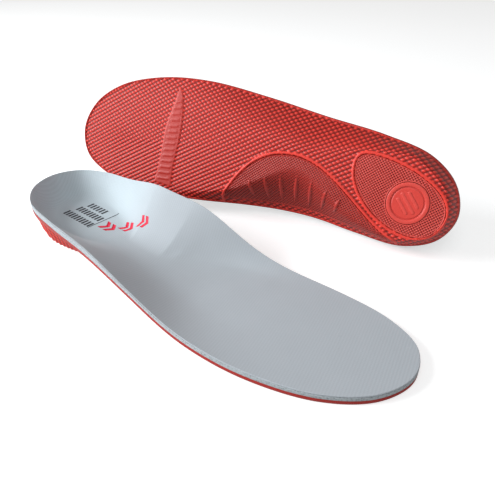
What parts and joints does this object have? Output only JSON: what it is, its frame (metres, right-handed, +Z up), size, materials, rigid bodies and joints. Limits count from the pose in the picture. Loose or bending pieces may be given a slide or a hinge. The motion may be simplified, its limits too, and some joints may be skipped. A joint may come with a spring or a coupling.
{
  "type": "cushioned insole",
  "caption": "Pair of contoured shoe insoles with a knit cover, cushioning foam and a moulded base with a heel cup, raised arch, textured underside and heel pad.",
  "frame": {"origin": "on the right insole's flat underside at mid length", "axes": "+X towards the right insole's toe, +Y towards the inner side of the right foot, +Z up from the ground"},
  "size_m": [0.2915, 0.1849, 0.0895],
  "materials": {
    "knit_cover": "fine grey twill knit with a faint cool sheen",
    "cushion_foam": "cut open-cell foam edge, grey, matte",
    "base_foam": "moulded red foam with a raised diagonal grip pattern, satin",
    "insert_rubber": "moulded red rubber with a fine grid of square pits, satin",
    "disc_rubber": "smooth moulded red rubber, satin"
  },
  "bodies": {
    "right_insole": {"right_top_cover": "knit_cover", "right_cushion_foam": "cushion_foam", "right_base_shell": "base_foam", "right_arch_insert": "insert_rubber", "right_heel_pad": "insert_rubber", "right_heel_disc": "disc_rubber"},
    "left_insole": {"left_top_cover": "knit_cover", "left_cushion_foam": "cushion_foam", "left_base_shell": "base_foam", "left_arch_insert": "insert_rubber", "left_heel_pad": "insert_rubber", "left_heel_disc": "disc_rubber"}
  },
  "joints": [
    {"name": "left_lift", "type": "slide", "parent": "right_insole", "child": "left_insole", "axis": [0, 0, 1], "range_m": [0, 0.12]}
  ]
}
